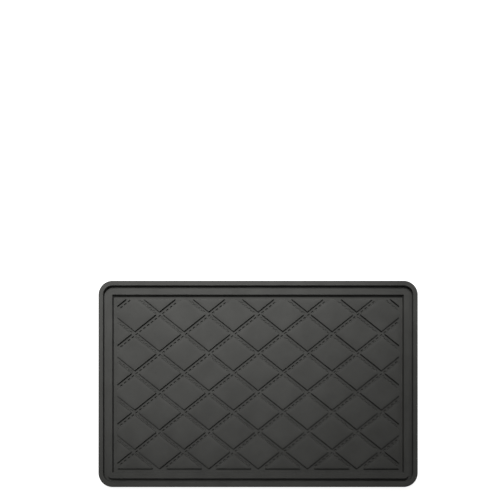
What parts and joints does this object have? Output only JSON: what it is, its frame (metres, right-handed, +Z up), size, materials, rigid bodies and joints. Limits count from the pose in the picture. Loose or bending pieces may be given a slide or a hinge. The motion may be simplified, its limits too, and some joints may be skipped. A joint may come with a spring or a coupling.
{
  "type": "anti-slip dashboard mat",
  "caption": "Thin rectangular rubber tray with rounded corners, a double raised rim and a diamond-quilted floor, laid on a vehicle dashboard to hold small things.",
  "frame": {"origin": "middle of the flat underside, which lies on z = 0", "axes": "+X along the long side, +Y towards the far side of the dashboard, +Z up out of the tray"},
  "size_m": [0.28, 0.181, 0.0055],
  "materials": {
    "mat_rubber": "matte moulded charcoal rubber with a fine even grain"
  },
  "bodies": {
    "root": {"dashboard_mat": "mat_rubber"}
  },
  "joints": []
}
